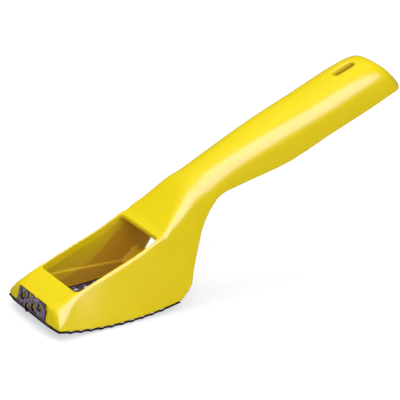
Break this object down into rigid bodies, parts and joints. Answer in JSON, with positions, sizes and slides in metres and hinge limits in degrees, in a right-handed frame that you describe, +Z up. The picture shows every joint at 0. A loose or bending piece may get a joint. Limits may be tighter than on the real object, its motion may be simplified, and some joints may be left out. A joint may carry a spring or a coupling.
{
  "type": "rasp plane",
  "caption": "One-hand shaver with a curved punched-tooth blade under a moulded body whose handle rises behind.",
  "frame": {"origin": "middle of the footprint, at the tips of the lowest teeth", "axes": "+X towards the end of the handle, +Y to the far side in the picture, +Z up"},
  "size_m": [0.1836, 0.0462, 0.0873],
  "materials": {
    "body": "glossy moulded yellow",
    "blade": "dark hardened strip"
  },
  "bodies": {
    "body": {"body": "body"},
    "blade": {"blade": "blade"}
  },
  "joints": [
    {"name": "blade_release", "type": "slide", "parent": "body", "child": "blade", "axis": [-0.2588, 0, -0.9659], "range_m": [0, 0.03]}
  ]
}
